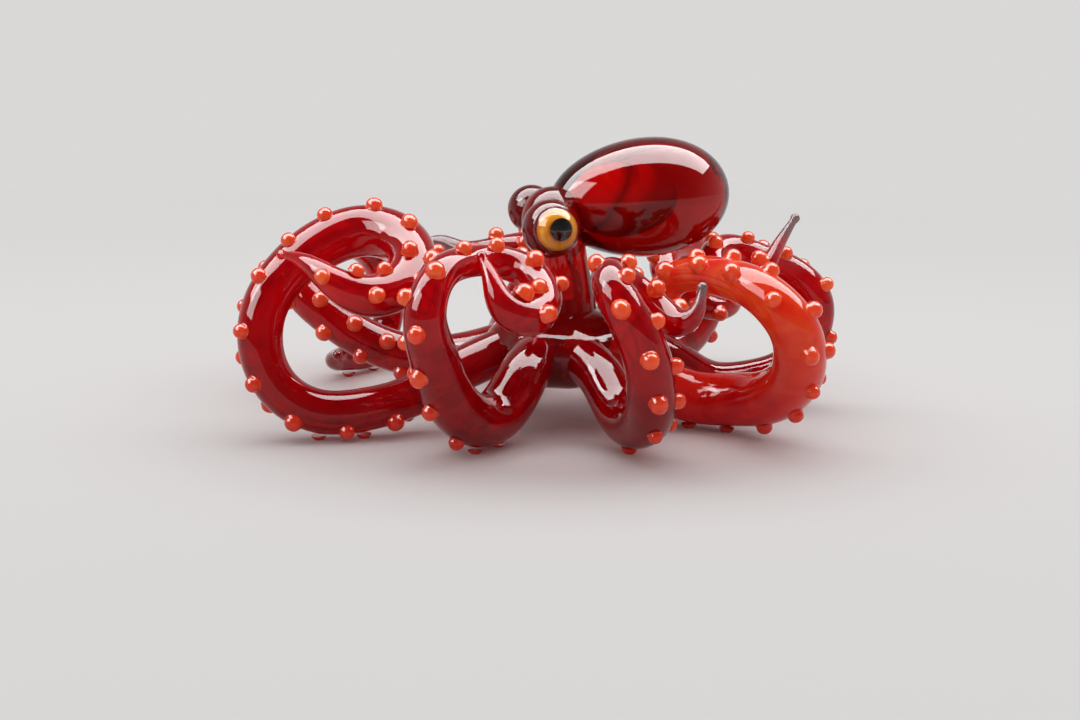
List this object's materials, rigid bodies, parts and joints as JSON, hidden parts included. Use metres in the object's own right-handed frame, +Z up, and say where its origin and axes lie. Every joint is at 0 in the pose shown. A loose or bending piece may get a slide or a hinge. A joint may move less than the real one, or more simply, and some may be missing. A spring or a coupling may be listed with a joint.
{
  "type": "octopus figurine",
  "caption": "Small glass octopus ornament: egg-shaped mantle leaning back over two bulging eyes, curled tapered arms with rows of round suckers.",
  "frame": {"origin": "the middle of the whole object's box, at the bottom, on the table under the hub", "axes": "+Z up from the table; the octopus looks along -X with the near eye on the -Y side and the mantle leaning back over +X"},
  "size_m": [0.0796, 0.0746, 0.0375],
  "materials": {
    "ruby_glass": "gloss, transparent ruby",
    "red_core": "gloss, dense red",
    "coral_glass": "gloss, opaque coral",
    "amber_glass": "gloss, opaque amber",
    "black_glass": "gloss, opaque black",
    "clear_glass": "gloss, clear"
  },
  "bodies": {
    "root": {"hub": "ruby_glass", "neck": "ruby_glass", "mantle": "ruby_glass", "mantle_core": "red_core", "near_eye_mound": "ruby_glass", "far_eye_mound": "ruby_glass", "near_iris": "amber_glass", "far_iris": "amber_glass", "near_pupil": "black_glass", "far_pupil": "black_glass", "near_cornea": "clear_glass", "far_cornea": "clear_glass", "arm_1": "ruby_glass", "arm_1_suckers": "coral_glass", "arm_1_feet": "coral_glass", "arm_2": "ruby_glass", "arm_2_suckers": "coral_glass", "arm_2_feet": "coral_glass", "arm_3": "ruby_glass", "arm_3_suckers": "coral_glass", "arm_3_feet": "coral_glass", "arm_4": "ruby_glass", "arm_4_suckers": "coral_glass", "arm_4_feet": "coral_glass", "arm_5": "ruby_glass", "arm_5_suckers": "coral_glass", "arm_5_feet": "coral_glass", "arm_6": "ruby_glass", "arm_6_suckers": "coral_glass", "arm_6_feet": "coral_glass", "arm_7": "ruby_glass", "arm_7_suckers": "coral_glass", "arm_7_feet": "coral_glass", "arm_8": "ruby_glass", "arm_8_suckers": "coral_glass", "arm_8_feet": "coral_glass"}
  },
  "joints": []
}
